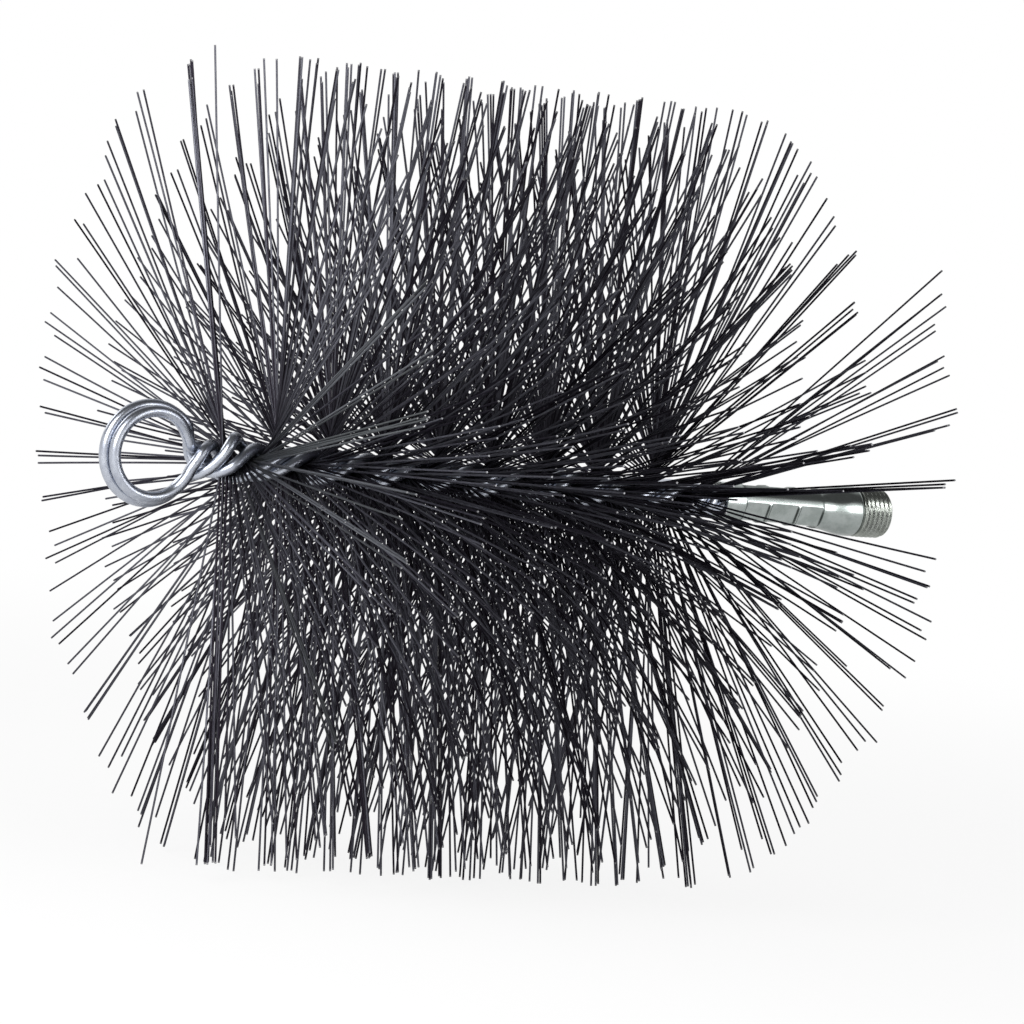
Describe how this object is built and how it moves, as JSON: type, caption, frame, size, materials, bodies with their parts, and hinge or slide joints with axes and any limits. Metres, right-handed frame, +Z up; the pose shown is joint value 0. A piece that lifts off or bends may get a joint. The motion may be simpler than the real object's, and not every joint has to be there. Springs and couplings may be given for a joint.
{
  "type": "chimney sweep brush",
  "caption": "Round wire brush head for sweeping chimney flues: steel bristles in a twisted wire stem, a pull eye at one end and a crimped ferrule with a male pipe thread at the other.",
  "frame": {"origin": "under the middle of the brush's length, on the plane that the lowest bristle tips rest on", "axes": "+X along the stem from the pull eye to the threaded end, +Z up, with the eye's loop standing in the XZ plane"},
  "size_m": [0.23, 0.2022, 0.2027],
  "materials": {
    "stem_zinc": "bright zinc-plated round wire",
    "bristle_steel": "dark oil-tempered spring steel wire",
    "ferrule_zinc": "zinc-plated tube with a slight green-yellow passivation tint"
  },
  "bodies": {
    "root": {"stem_wire_outer": "stem_zinc", "stem_wire_inner": "stem_zinc", "threaded_ferrule": "ferrule_zinc", "bristle_tuft_01": "bristle_steel", "bristle_tuft_02": "bristle_steel", "bristle_tuft_03": "bristle_steel", "bristle_tuft_04": "bristle_steel", "bristle_tuft_05": "bristle_steel", "bristle_tuft_06": "bristle_steel", "bristle_tuft_07": "bristle_steel", "bristle_tuft_08": "bristle_steel", "bristle_tuft_09": "bristle_steel", "bristle_tuft_10": "bristle_steel", "bristle_tuft_11": "bristle_steel", "bristle_tuft_12": "bristle_steel", "bristle_tuft_13": "bristle_steel", "bristle_tuft_14": "bristle_steel", "bristle_tuft_15": "bristle_steel", "bristle_tuft_16": "bristle_steel", "bristle_tuft_17": "bristle_steel", "bristle_tuft_18": "bristle_steel"}
  },
  "joints": []
}
